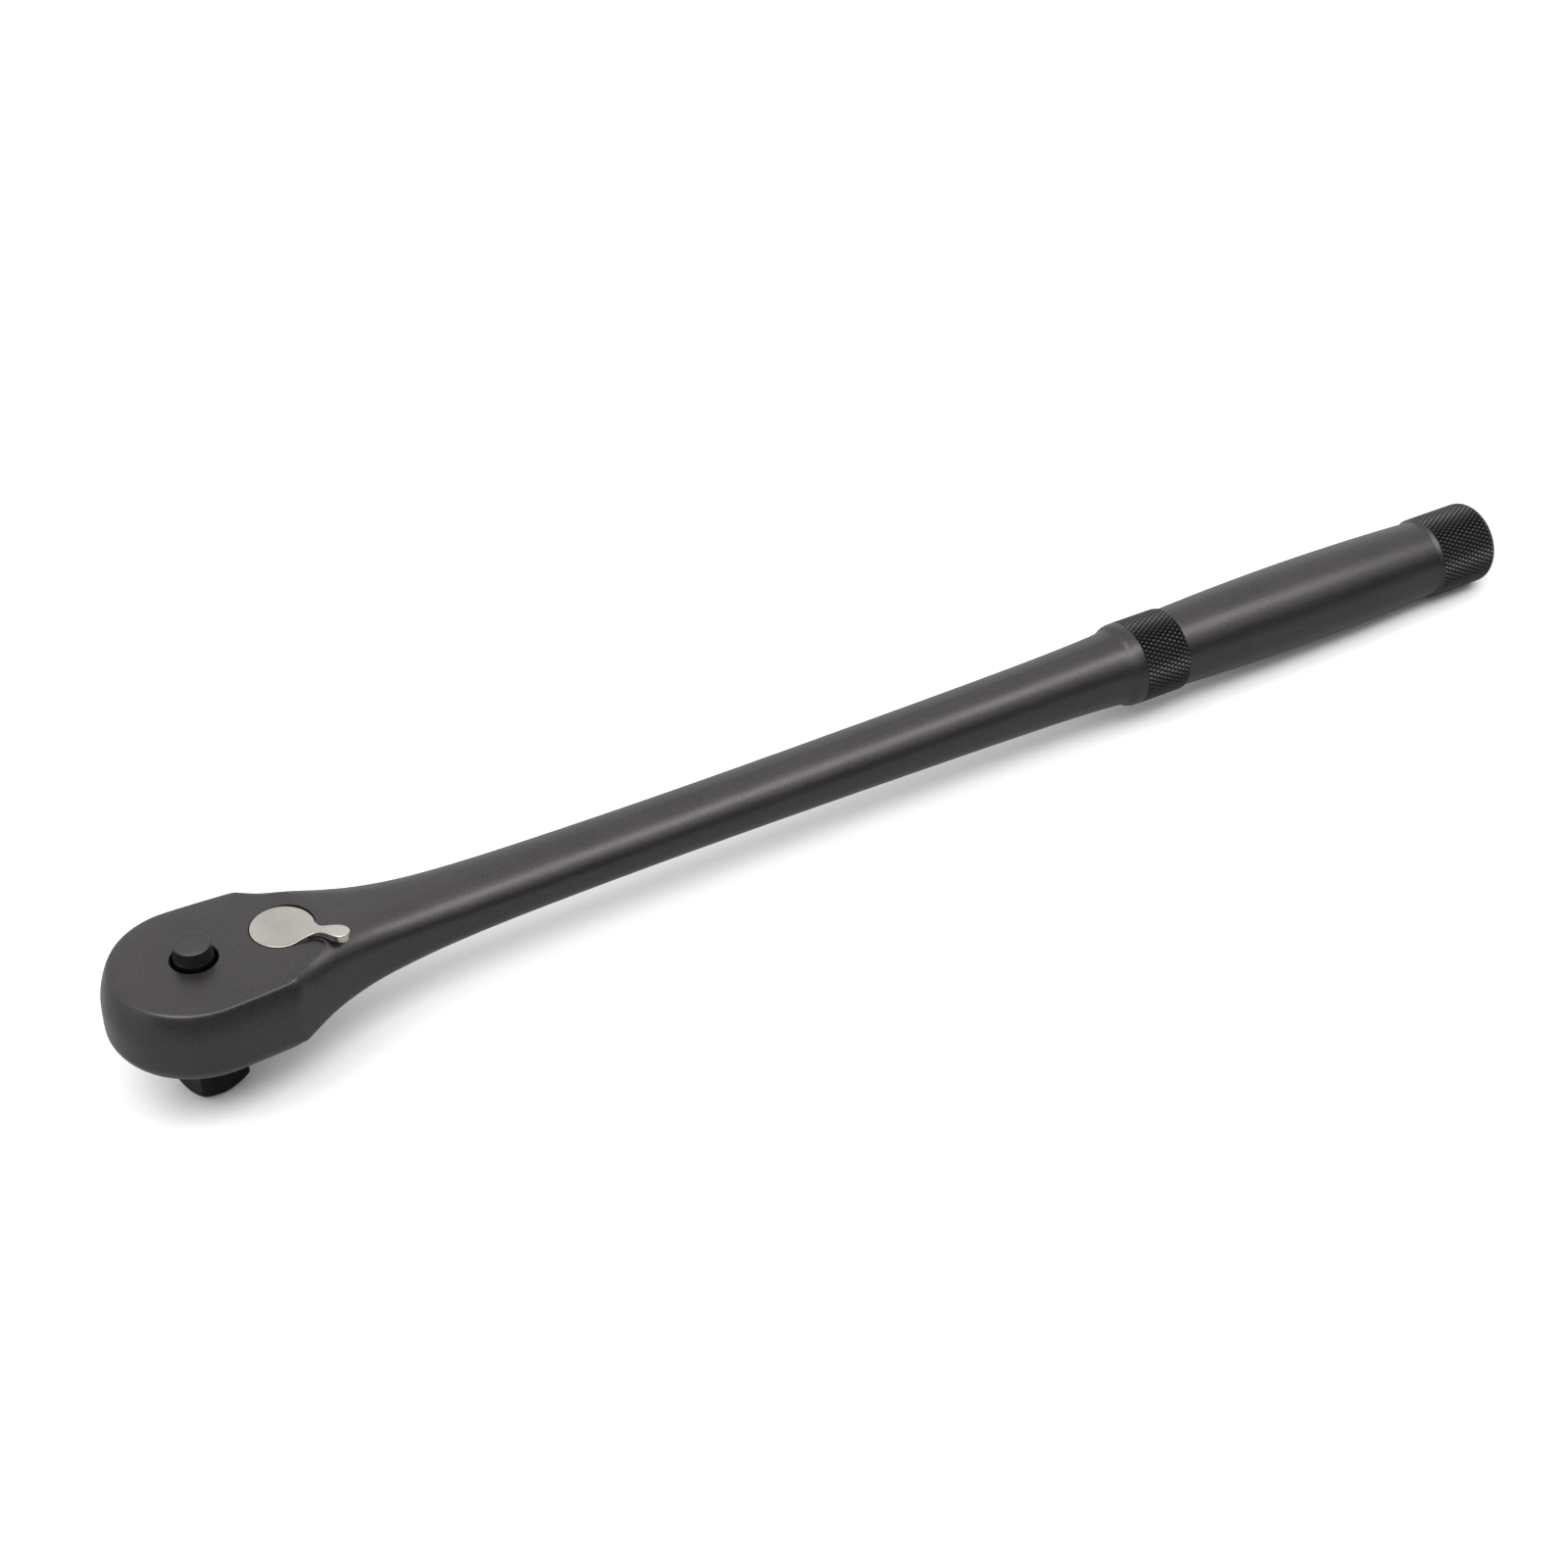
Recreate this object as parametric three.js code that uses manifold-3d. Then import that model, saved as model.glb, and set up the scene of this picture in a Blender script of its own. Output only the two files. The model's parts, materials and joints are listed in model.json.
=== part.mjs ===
// A half-inch drive ratchet handle with a knurled steel grip, a push-button socket release and a
// reversing lever. All sizes are in millimetres. The origin is the centre of the square drive's end
// face, +X runs along the handle towards the grip and +Z points up, out of the button.
import * as THREE from 'three';
import { mergeVertices } from 'three/addons/utils/BufferGeometryUtils.js';
import Module from 'manifold-3d';

const wasm = await Module();
wasm.setup();

// Driving dimensions
const OVERALL_LENGTH = 381;
const HEAD_RADIUS = 20.7;
const HEAD_TOP = 35.1;
const HEAD_BOTTOM = 17.4;
const NECK_AXIS = 25.8;
const GRIP_AXIS = 25.2;

const SQUARE_SIZE = 12.7;
const SQUARE_CORNER = 1.1;
const SQUARE_END_RADIUS = 5.5;
const SQUARE_LEAD_IN = 0.66;
const SQUARE_TURN = 14;

const TEETH = 36;
const GEAR_TIP_RADIUS = 12.5;
const GEAR_ROOT_RADIUS = 11.5;
const GEAR_BOTTOM = HEAD_BOTTOM + 2.9;
const GEAR_TOP = GEAR_BOTTOM + 8.8;
const UPPER_JOURNAL_RADIUS = 7.6;
const UPPER_JOURNAL_TOP = GEAR_TOP + 2.2;
const LOWER_JOURNAL_RADIUS = 8.6;
const JOURNAL_CLEARANCE = 0.15;

const LEVER_X = 20.6;
const LEVER_DISC_RADIUS = 7.2;
const LEVER_DISC_BOTTOM = HEAD_TOP - 2.1;
const LEVER_PROUD = 0.2;
const LEVER_STEM_RADIUS = 3.5;
const LEVER_STEM_BOTTOM = HEAD_BOTTOM + 2.6;
const LEVER_TAIL_ANGLE = -48;
const LEVER_TAIL_LENGTH = 16.3;
const LEVER_TAIL_BOTTOM = HEAD_TOP + 0.45;
const LEVER_TAIL_TOP = HEAD_TOP + 2.7;

const PAWL_BOTTOM = GEAR_BOTTOM + 0.3;
const PAWL_TOP = GEAR_TOP - 0.3;
const PAWL_HUB_RADIUS = 6.6;
const PAWL_OUTER_RADIUS = 15.4;
const PAWL_ROCK = 7.2;
const MESH_CLEARANCE = 0.12;

const COVER_THICKNESS = 2;
const COVER_INSET = 1.8;
const GASKET_THICKNESS = 0.3;
const SCREW_PLACES = [[-10.4, -12.3], [-10.4, 12.3], [31.4, 0]];

const BUTTON_RADIUS = 4.2;
const BUTTON_TOP = HEAD_TOP + 4.1;
const BUTTON_HOLE_RADIUS = 5.3;
const BUTTON_TRAVEL = 3.5;
const PIN_RADIUS = 3.4;
const PIN_WAIST_RADIUS = 2.4;
const BALL_RADIUS = 1.75;
const BALL_HEIGHT = 8;
const BALL_PROUD = 0.7;
const BALL_LIP = 0.4;

const RING_START = 243.3;
const RING_END = 260.3;
const CAP_START = 340.8;
const KNURL_RADIUS = 10.7;
const GRIP_MIDDLE_RADIUS = 11.05;
const GRIP_END_RADIUS = 10.1;

const SEGMENTS = 36;
const degrees = THREE.MathUtils.degToRad;

const steel = (color, roughness, metalness = 0.9) =>
  new THREE.MeshStandardMaterial({ color, roughness, metalness });
const blackOxide = steel(0x3f3d3d, 0.45);
const deepBlack = steel(0x1c1c1d, 0.55);
const satinNickel = steel(0xb4b1a8, 0.35);
const hardenedSteel = steel(0x77767a, 0.4);
const springSteel = steel(0x8b8b8e, 0.3);
const blackRubber = steel(0x141414, 0.85, 0);
const gasketFibre = steel(0x3b352e, 0.9, 0);

// Solids for joining and cutting

function solid(geometry) {
  const bare = geometry.clone();
  bare.deleteAttribute('normal');
  bare.deleteAttribute('uv');
  const merged = mergeVertices(bare, 1e-4);
  return new wasm.Manifold(new wasm.Mesh({
    numProp: 3,
    vertProperties: new Float32Array(merged.attributes.position.array),
    triVerts: new Uint32Array(merged.index.array),
  }));
}

function geometryOf(body) {
  const mesh = body.getMesh();
  const geometry = new THREE.BufferGeometry();
  geometry.setAttribute('position', new THREE.BufferAttribute(mesh.vertProperties, 3));
  geometry.setIndex(new THREE.BufferAttribute(mesh.triVerts, 1));
  return geometry;
}

function plate(shape, bottom, top) {
  const depth = top - bottom;
  const geometry = new THREE.ExtrudeGeometry(shape, { depth, bevelEnabled: false, curveSegments: 14 });
  return geometry.translate(0, 0, bottom);
}

function rod(radius, bottom, top, x = 0, y = 0, segments = SEGMENTS) {
  const geometry = new THREE.CylinderGeometry(radius, radius, top - bottom, segments);
  return geometry.rotateX(Math.PI / 2).translate(x, y, (top + bottom) / 2);
}

// A turned part about the Z axis. The profile's points are [radius, height], from the axis at the
// bottom, up the outside, and back to the axis; a ring's profile closes on itself.
function turned(profile, segments = SEGMENTS) {
  const points = profile.map(([radius, height]) => new THREE.Vector2(radius, height));
  return new THREE.LatheGeometry(points, segments).rotateX(Math.PI / 2);
}

function ring(inner, outer, bottom, top) {
  return turned([[inner, bottom], [outer, bottom], [outer, top], [inner, top], [inner, bottom]]);
}

// A coil spring standing on the Z axis, with its two end turns closed up flat.
function coilSpring(coilRadius, wireRadius, bottom, top, turns) {
  class Coil extends THREE.Curve {
    getPoint(t, target = new THREE.Vector3()) {
      const angle = t * turns * 2 * Math.PI;
      const rise = THREE.MathUtils.smoothstep(t, 0.5 / turns, 1 - 0.5 / turns);
      const height = bottom + wireRadius + rise * (top - bottom - 2 * wireRadius);
      return target.set(coilRadius * Math.cos(angle), coilRadius * Math.sin(angle), height);
    }
  }
  const wire = new THREE.Shape().absarc(0, 0, wireRadius, 0, 2 * Math.PI);
  const steps = Math.round(turns * 10);
  return new THREE.ExtrudeGeometry(wire, {
    extrudePath: new Coil(), steps, curveSegments: 3, bevelEnabled: false,
  });
}

const tool = new THREE.Group();

function add(name, geometry, material, parent = tool) {
  const mesh = new THREE.Mesh(geometry, material);
  mesh.name = name;
  parent.add(mesh);
  return mesh;
}

// Head: the outline is a round nose about the drive axis and two sides that close in slightly.
const HEAD_CORNER_X = 15.8;
const HEAD_CORNER_Y = 20;

function headOutline(inset = 0) {
  const noseRadius = HEAD_RADIUS - inset;
  const shape = new THREE.Shape();
  shape.absarc(0, 0, noseRadius, degrees(87), degrees(273), false);
  shape.lineTo(HEAD_CORNER_X - inset, -HEAD_CORNER_Y + inset);
  shape.lineTo(HEAD_CORNER_X - inset, HEAD_CORNER_Y - inset);
  return shape;
}

// Neck and shank: sections of a flattened round whose half-width and half-height change along the
// handle. Near the head they are almost rectangular, and at the grip they are round. The rows are
// [distance along the handle, half-width, half-height].
const SHANK = [
  [12, 18.8, 9.55], [16, 19.6, 9.55], [24, 16.2, 9.55], [32, 13.4, 9.25], [40, 11.3, 8.5],
  [52, 9.7, 7.6], [80, 8.6, 7], [120, 8.2, 6.9], [160, 8.2, 7.4], [200, 8.4, 8],
  [225, 8.7, 8.5], [238, 9.1, 9.1], [RING_START + 2, 9.6, 9.6],
];

function squared(share, power) {
  return Math.abs(share) < 1e-6 ? 0 : Math.sign(share) * Math.abs(share) ** (2 / power);
}

function shank() {
  const run = new THREE.CatmullRomCurve3(SHANK.map((row) => new THREE.Vector3(...row)));
  const around = 28;
  const along = 2 * (SHANK.length - 1);
  const geometry = new THREE.CylinderGeometry(1, 1, 1, around, along);
  const vertices = geometry.attributes.position;
  const point = new THREE.Vector3();
  for (let i = 0; i < vertices.count; i += 1) {
    point.fromBufferAttribute(vertices, i);
    const section = run.getPoint(point.y + 0.5);
    const power = 2.1 + 9 * Math.exp(-(section.x - 16) / 16);
    const y = -section.y * squared(point.x, power);
    const z = section.z * squared(point.z, power);
    const drop = THREE.MathUtils.smoothstep(section.x, 24, 56) * (NECK_AXIS - GRIP_AXIS);
    vertices.setXYZ(i, section.x, y, NECK_AXIS - drop + z);
  }
  return geometry;
}

// Grip: a turned barrel between two knurled bands, the second of which is the rounded end.
function grip() {
  const end = OVERALL_LENGTH - HEAD_RADIUS;
  const middle = (RING_END + CAP_START) / 2;
  const barrel = new THREE.CatmullRomCurve3([
    new THREE.Vector3(RING_END, GRIP_END_RADIUS, 0),
    new THREE.Vector3(middle, GRIP_MIDDLE_RADIUS, 0),
    new THREE.Vector3(CAP_START, GRIP_END_RADIUS, 0),
  ]).getPoints(8).map((point) => [point.y, point.x]);
  const profile = [
    [0, RING_START], [9.8, RING_START], [10.5, RING_START + 0.6], [KNURL_RADIUS, RING_START + 1.8],
    [KNURL_RADIUS, RING_END], ...barrel,
    [KNURL_RADIUS, CAP_START], [KNURL_RADIUS, end - 3.4], [10.3, end - 1.8], [9.3, end - 0.6],
    [7.8, end], [0, end],
  ];
  return turned(profile, 28).rotateY(Math.PI / 2).translate(0, 0, GRIP_AXIS);
}

// The pocket inside the head: a round well for the gear, a fan in which the pawl's arms rock, and a
// round well for the pawl's hub.
function pocketOutlines() {
  const fan = new THREE.Shape();
  fan.absarc(0, 0, PAWL_OUTER_RADIUS + 2.4, degrees(-63), degrees(63), false);
  fan.lineTo(0, 0);
  const well = new THREE.Shape().absarc(0, 0, GEAR_TIP_RADIUS + 0.5, 0, 2 * Math.PI);
  const hub = new THREE.Shape().absarc(LEVER_X, 0, PAWL_HUB_RADIUS + 0.6, 0, 2 * Math.PI);
  return [fan, well, hub];
}

function pocket(bottom, top) {
  return pocketOutlines().map((outline) => solid(plate(outline, bottom, top)))
    .reduce((whole, part) => whole.add(part));
}

// The cover plate follows the underside of the head at a steady inset and ends round a screw.
const COVER_END_X = SCREW_PLACES[2][0];
const COVER_END_RADIUS = 4.2;

function coverOutline(inset = 0) {
  const shape = new THREE.Shape();
  const nose = HEAD_RADIUS - COVER_INSET - inset;
  const endRadius = COVER_END_RADIUS - inset;
  shape.absarc(0, 0, nose, degrees(87), degrees(273), false);
  shape.lineTo(HEAD_CORNER_X - 1, -HEAD_CORNER_Y + COVER_INSET + inset);
  shape.absarc(COVER_END_X, 0, endRadius, degrees(-60), degrees(60), false);
  shape.lineTo(HEAD_CORNER_X - 1, HEAD_CORNER_Y - COVER_INSET - inset);
  return shape;
}

// The head's top is milled flat as far as the lever, with a rounded corner each side.
function topMilling() {
  const corner = 3.5;
  const cornerX = 23;
  const cornerY = 11.6;
  const shape = new THREE.Shape();
  shape.moveTo(-30, 30);
  shape.lineTo(-30, -30);
  shape.lineTo(cornerX + corner, -30);
  shape.absarc(cornerX, -cornerY, corner, 0, degrees(80), false);
  shape.lineTo(cornerX, -LEVER_DISC_RADIUS + 0.6);
  shape.lineTo(cornerX, LEVER_DISC_RADIUS - 0.6);
  shape.absarc(cornerX, cornerY, corner, degrees(-80), 0, false);
  shape.lineTo(cornerX + corner, 30);
  return plate(shape, HEAD_TOP, HEAD_TOP + 4);
}

const SCREW_RADIUS = 1.45;
const SCREW_HEAD_RADIUS = 2.6;
const SCREW_CONE = 1.3;
const SCREW_TOP = HEAD_BOTTOM + 8.8;

function screwBlank(grow) {
  const face = HEAD_BOTTOM + 0.05;
  return turned([
    [0, face - grow], [SCREW_HEAD_RADIUS + grow, face - grow], [SCREW_HEAD_RADIUS + grow, face + 0.2],
    [SCREW_RADIUS + grow, face + 0.2 + SCREW_CONE], [SCREW_RADIUS + grow, SCREW_TOP + grow],
    [0, SCREW_TOP + grow],
  ], 24);
}

function handleForging() {
  const headBlank = new THREE.ExtrudeGeometry(headOutline(1.2), {
    depth: HEAD_TOP - HEAD_BOTTOM - 2.4,
    bevelThickness: 1.2,
    bevelSize: 1.2,
    bevelSegments: 2,
    curveSegments: 18,
  }).translate(0, 0, HEAD_BOTTOM + 1.2);
  const coverRecess = HEAD_BOTTOM + COVER_THICKNESS + GASKET_THICKNESS + 0.3;
  const cuts = [
    solid(topMilling()),
    solid(rod(60, 0, HEAD_BOTTOM)),
    solid(plate(coverOutline(-0.15), HEAD_BOTTOM - 1, coverRecess)),
    pocket(HEAD_BOTTOM, GEAR_TOP + 0.4),
    solid(rod(UPPER_JOURNAL_RADIUS + JOURNAL_CLEARANCE, GEAR_TOP, UPPER_JOURNAL_TOP + 0.3)),
    solid(rod(BUTTON_HOLE_RADIUS, GEAR_TOP, HEAD_TOP + 1)),
    solid(rod(LEVER_DISC_RADIUS + 0.2, LEVER_DISC_BOTTOM - 0.2, HEAD_TOP + 2, LEVER_X)),
    solid(rod(LEVER_STEM_RADIUS + 0.1, GEAR_TOP, HEAD_TOP, LEVER_X)),
    solid(rod(SEAL_OUTER_RADIUS + 0.1, SEAL_BOTTOM - 0.1, HEAD_TOP, LEVER_X)),
    ...SCREW_PLACES.map(([x, y]) => solid(screwBlank(0.1).translate(x, y, 0))),
  ];
  const blank = solid(headBlank).add(solid(shank())).add(solid(grip()));
  return cuts.reduce((body, cut) => body.subtract(cut), blank);
}

// The lever's round seal lies in a groove under the lever's disc.
const SEAL_BOTTOM = HEAD_TOP - 3.2;
const SEAL_TOP = HEAD_TOP - 2.4;
const SEAL_OUTER_RADIUS = 4.7;

function leverSeal() {
  const inner = LEVER_STEM_RADIUS + 0.05;
  return ring(inner, SEAL_OUTER_RADIUS, SEAL_BOTTOM, SEAL_TOP).translate(LEVER_X, 0, 0);
}

// Drive gear: ratchet wheel, two journals and the square, all machined in one piece.

function toothedWheel(tip, root, bottom, top) {
  const outline = [];
  const pitch = (2 * Math.PI) / TEETH;
  for (let tooth = 0; tooth < TEETH; tooth += 1) {
    const middle = (tooth + 0.5) * pitch;
    const corners = [[-0.5, root], [-0.38, root], [-0.09, tip], [0.09, tip], [0.38, root]];
    corners.forEach(([share, radius]) => {
      const angle = middle + share * pitch;
      outline.push(new THREE.Vector2(radius * Math.cos(angle), radius * Math.sin(angle)));
    });
  }
  return plate(new THREE.Shape(outline), bottom, top);
}

function squareOutline() {
  const half = SQUARE_SIZE / 2;
  const straight = half - SQUARE_CORNER;
  const shape = new THREE.Shape();
  [[straight, straight], [-straight, straight], [-straight, -straight], [straight, -straight]]
    .forEach(([x, y], i) => {
      const from = i * Math.PI / 2;
      shape.absarc(x, y, SQUARE_CORNER, from, from + Math.PI / 2, false);
    });
  return shape;
}

function driveGear() {
  const half = SQUARE_SIZE / 2;
  const corner = half * Math.SQRT2;
  const square = solid(plate(squareOutline(), 0, GEAR_BOTTOM)).intersect(solid(turned([
    [0, 0], [SQUARE_END_RADIUS, 0], [corner, (corner - SQUARE_END_RADIUS) * SQUARE_LEAD_IN],
    [corner, GEAR_BOTTOM], [0, GEAR_BOTTOM],
  ])));
  const wheel = solid(toothedWheel(GEAR_TIP_RADIUS, GEAR_ROOT_RADIUS, GEAR_BOTTOM, GEAR_TOP)
    .rotateZ(degrees(-SQUARE_TURN)));
  const bore = PIN_RADIUS + 0.1;
  const ballBoreEnd = half - BALL_LIP;
  const ballBore = new THREE.CylinderGeometry(BALL_RADIUS + 0.08, BALL_RADIUS + 0.08, ballBoreEnd, 24)
    .rotateZ(Math.PI / 2).translate(ballBoreEnd / 2, 0, BALL_HEIGHT);
  const mouth = new THREE.CylinderGeometry(BALL_RADIUS - 0.1, BALL_RADIUS - 0.1, half, 24)
    .rotateZ(Math.PI / 2).translate(half, 0, BALL_HEIGHT);
  return square
    .add(solid(rod(LOWER_JOURNAL_RADIUS, HEAD_BOTTOM - 0.1, GEAR_BOTTOM + 1)))
    .add(wheel)
    .add(solid(rod(UPPER_JOURNAL_RADIUS, GEAR_TOP - 1, UPPER_JOURNAL_TOP)))
    .subtract(solid(turned([
      [0, 2.3], [bore, 2.3], [bore, SPRING_SEAT], [SPRING_WELL_RADIUS, SPRING_SEAT],
      [SPRING_WELL_RADIUS, UPPER_JOURNAL_TOP + 1], [0, UPPER_JOURNAL_TOP + 1],
    ])))
    .subtract(solid(ballBore))
    .subtract(solid(mouth));
}

const SPRING_SEAT = HEAD_BOTTOM + 4.1;
const SPRING_WELL_RADIUS = 4.7;

// Release button: a turned pin with a flat push face, a slim waist that lets the ball sink in, and
// a full-width land at the bottom that holds the ball out at rest.
const BUTTON_SKIRT_RADIUS = 4.5;
const BUTTON_SKIRT_BOTTOM = HEAD_TOP - 4.1;

function releaseButton() {
  const pinBottom = BALL_HEIGHT - 1.5;
  const rampFoot = BALL_HEIGHT + 0.3;
  return turned([
    [0, pinBottom], [PIN_RADIUS - 0.4, pinBottom], [PIN_RADIUS, pinBottom + 0.4],
    [PIN_RADIUS, rampFoot], [PIN_WAIST_RADIUS, rampFoot + BUTTON_TRAVEL],
    [PIN_WAIST_RADIUS, BUTTON_SKIRT_BOTTOM], [BUTTON_SKIRT_RADIUS, BUTTON_SKIRT_BOTTOM],
    [BUTTON_SKIRT_RADIUS, HEAD_TOP + 0.6], [BUTTON_RADIUS, HEAD_TOP + 1.6],
    [BUTTON_RADIUS, BUTTON_TOP - 0.3], [BUTTON_RADIUS - 0.3, BUTTON_TOP], [0, BUTTON_TOP],
  ], 28);
}

function releaseSpring() {
  return coilSpring(3.95, 0.4, SPRING_SEAT + 0.15, BUTTON_SKIRT_BOTTOM - 0.15, 7);
}

function socketBall() {
  const x = SQUARE_SIZE / 2 + BALL_PROUD - BALL_RADIUS;
  return new THREE.SphereGeometry(BALL_RADIUS, 16, 12).translate(x, 0, BALL_HEIGHT);
}

// Pawl: a hub on the lever's stem and two toothed arms. It is cut to fit the wheel at both ends of
// its rock, so whichever arm is in, its teeth lie between the wheel's teeth.

function rockedAboutStem(geometry, angle) {
  return geometry.translate(-LEVER_X, 0, 0).rotateZ(degrees(angle)).translate(LEVER_X, 0, 0);
}

function pawl() {
  const arms = new THREE.Shape();
  arms.absarc(0, 0, PAWL_OUTER_RADIUS, degrees(-58), degrees(58), false);
  arms.absarc(0, 0, GEAR_ROOT_RADIUS, degrees(58), degrees(36), true);
  arms.absarc(0, 0, GEAR_TIP_RADIUS + 0.8, degrees(36), degrees(-36), true);
  arms.absarc(0, 0, GEAR_ROOT_RADIUS, degrees(-36), degrees(-58), true);
  const notchTilt = Math.abs(LEVER_TAIL_ANGLE) - PAWL_ROCK / 2;
  const notchRadius = DETENT_BALL_RADIUS + 0.25;
  const trackRadius = DETENT_BALL_REACH + 0.1;
  const wheel = () => toothedWheel(
    GEAR_TIP_RADIUS + MESH_CLEARANCE,
    GEAR_ROOT_RADIUS + MESH_CLEARANCE,
    PAWL_BOTTOM - 1,
    PAWL_TOP + 1,
  );
  const low = DETENT_HEIGHT - notchRadius;
  const high = DETENT_HEIGHT + notchRadius;
  const notchX = LEVER_X + DETENT_BALL_REACH - DETENT_BALL_RADIUS;
  const notch = (angle) => rockedAboutStem(rod(notchRadius, low, high, notchX, 0, 24), angle);
  const track = new THREE.Shape();
  track.absarc(LEVER_X, 0, trackRadius, degrees(-notchTilt), degrees(notchTilt), false);
  track.lineTo(LEVER_X, 0);
  const pose = solid(plate(arms, PAWL_BOTTOM, PAWL_TOP))
    .add(solid(rod(PAWL_HUB_RADIUS, PAWL_BOTTOM, PAWL_TOP, LEVER_X)))
    .subtract(solid(rod(LEVER_STEM_RADIUS + 0.12, PAWL_BOTTOM - 1, PAWL_TOP + 1, LEVER_X)))
    .subtract(solid(rockedAboutStem(wheel(), PAWL_ROCK / 2)))
    .subtract(solid(rockedAboutStem(wheel(), -PAWL_ROCK / 2)))
    .subtract(solid(plate(track, low, high)))
    .subtract(solid(notch(notchTilt)))
    .subtract(solid(notch(-notchTilt)));
  return rockedAboutStem(geometryOf(pose), -PAWL_ROCK / 2);
}

// Reversing lever: a flush disc with a raised thumb tail, and a stem down through the pawl. The
// tail lies along +X here and is turned to its place with the detent parts.

const DETENT_HEIGHT = (PAWL_BOTTOM + PAWL_TOP) / 2;
const DETENT_BALL_RADIUS = 1.2;
const DETENT_BALL_REACH = 4.95;
const DETENT_TRAVEL = 0.4;
const DETENT_BORE_END = -1.6;

function tailOutline() {
  const shape = new THREE.Shape();
  const tip = LEVER_TAIL_LENGTH;
  shape.moveTo(4, -3.4);
  shape.bezierCurveTo(7.5, -2.6, 7.5, -1.1, 9.5, -1.1);
  shape.bezierCurveTo(11.5, -1.1, 11.5, -2.1, tip - 2.1, -2.1);
  shape.absarc(tip - 2.1, 0, 2.1, degrees(-90), degrees(90), false);
  shape.bezierCurveTo(11.5, 2.1, 11.5, 1.1, 9.5, 1.1);
  shape.bezierCurveTo(7.5, 1.1, 7.5, 2.6, 4, 3.4);
  return shape;
}

// The tail seen from the side: it climbs out of the disc in a hollow curve and clears the head.
function tailSide() {
  const shape = new THREE.Shape();
  const discTop = HEAD_TOP + LEVER_PROUD;
  const tip = LEVER_TAIL_LENGTH + 1;
  shape.moveTo(3.5, discTop - 0.8);
  shape.lineTo(LEVER_DISC_RADIUS - 1, discTop - 0.8);
  shape.lineTo(LEVER_DISC_RADIUS - 0.8, LEVER_TAIL_BOTTOM);
  shape.lineTo(tip, LEVER_TAIL_BOTTOM);
  shape.lineTo(tip, LEVER_TAIL_TOP);
  shape.lineTo(12, LEVER_TAIL_TOP - 0.1);
  shape.bezierCurveTo(9, LEVER_TAIL_TOP - 0.3, 8, discTop + 0.4, 3.5, discTop);
  const width = 12;
  return new THREE.ExtrudeGeometry(shape, { depth: width, bevelEnabled: false, curveSegments: 10 })
    .rotateX(Math.PI / 2)
    .translate(0, width / 2, 0);
}

function reverseLever() {
  const discTop = HEAD_TOP + LEVER_PROUD;
  const boreRadius = DETENT_BALL_RADIUS + 0.1;
  const boreLength = 8;
  const crossBore = new THREE.CylinderGeometry(boreRadius, boreRadius, boreLength, 20)
    .rotateZ(Math.PI / 2)
    .translate(DETENT_BORE_END + boreLength / 2, 0, DETENT_HEIGHT);
  const body = solid(turned([
    [0, LEVER_STEM_BOTTOM], [LEVER_STEM_RADIUS - 0.3, LEVER_STEM_BOTTOM],
    [LEVER_STEM_RADIUS - 0.3, CLIP_BOTTOM - 0.25], [CLIP_INNER_RADIUS - 0.1, CLIP_BOTTOM - 0.1],
    [CLIP_INNER_RADIUS - 0.1, CLIP_TOP + 0.1], [LEVER_STEM_RADIUS, CLIP_TOP + 0.1],
    [LEVER_STEM_RADIUS, LEVER_DISC_BOTTOM], [LEVER_DISC_RADIUS, LEVER_DISC_BOTTOM],
    [LEVER_DISC_RADIUS, discTop - 0.3], [LEVER_DISC_RADIUS - 0.3, discTop], [0, discTop],
  ]));
  const tail = solid(plate(tailOutline(), HEAD_TOP - 1, LEVER_TAIL_TOP + 1))
    .intersect(solid(tailSide()));
  return body.add(tail).subtract(solid(crossBore));
}

// A ball pushed out of the stem by a spring seats the lever in one of the pawl's two notches.
function detentBall() {
  const x = DETENT_BALL_REACH - DETENT_BALL_RADIUS;
  return new THREE.SphereGeometry(DETENT_BALL_RADIUS, 14, 10).translate(x, 0, DETENT_HEIGHT);
}

function detentSpring() {
  const ballBack = DETENT_BALL_REACH - 2 * DETENT_BALL_RADIUS - DETENT_TRAVEL;
  const spring = coilSpring(0.9, 0.2, DETENT_BORE_END + 0.1, ballBack - 0.1, 4);
  return spring.rotateY(Math.PI / 2).translate(0, 0, DETENT_HEIGHT);
}

const CLIP_BOTTOM = PAWL_BOTTOM - 0.35;
const CLIP_TOP = PAWL_BOTTOM - 0.05;
const CLIP_INNER_RADIUS = 2.9;

function retainingClip() {
  const shape = new THREE.Shape();
  const opening = degrees(35);
  shape.absarc(0, 0, 4.4, opening, 2 * Math.PI - opening, false);
  shape.absarc(0, 0, CLIP_INNER_RADIUS, 2 * Math.PI - opening, opening, true);
  return plate(shape, CLIP_BOTTOM, CLIP_TOP);
}

// Cover plate, its gasket and screws

function coverPlate() {
  const top = HEAD_BOTTOM + COVER_THICKNESS;
  const body = solid(plate(coverOutline(), HEAD_BOTTOM, top))
    .subtract(solid(rod(LOWER_JOURNAL_RADIUS + JOURNAL_CLEARANCE, 0, top + 1)))
    .subtract(solid(rod(HUB_SEAL_OUTER_RADIUS + 0.1, HUB_SEAL_BOTTOM - 0.1, top + 1)));
  return SCREW_PLACES.reduce(
    (rest, [x, y]) => rest.subtract(solid(screwBlank(0.1).translate(x, y, 0))),
    body,
  );
}

// Between the cover and the gear: a rubber ring round the journal and a spring-steel washer.
const HUB_SEAL_BOTTOM = HEAD_BOTTOM + 1.2;
const HUB_SEAL_OUTER_RADIUS = 9.9;

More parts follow.
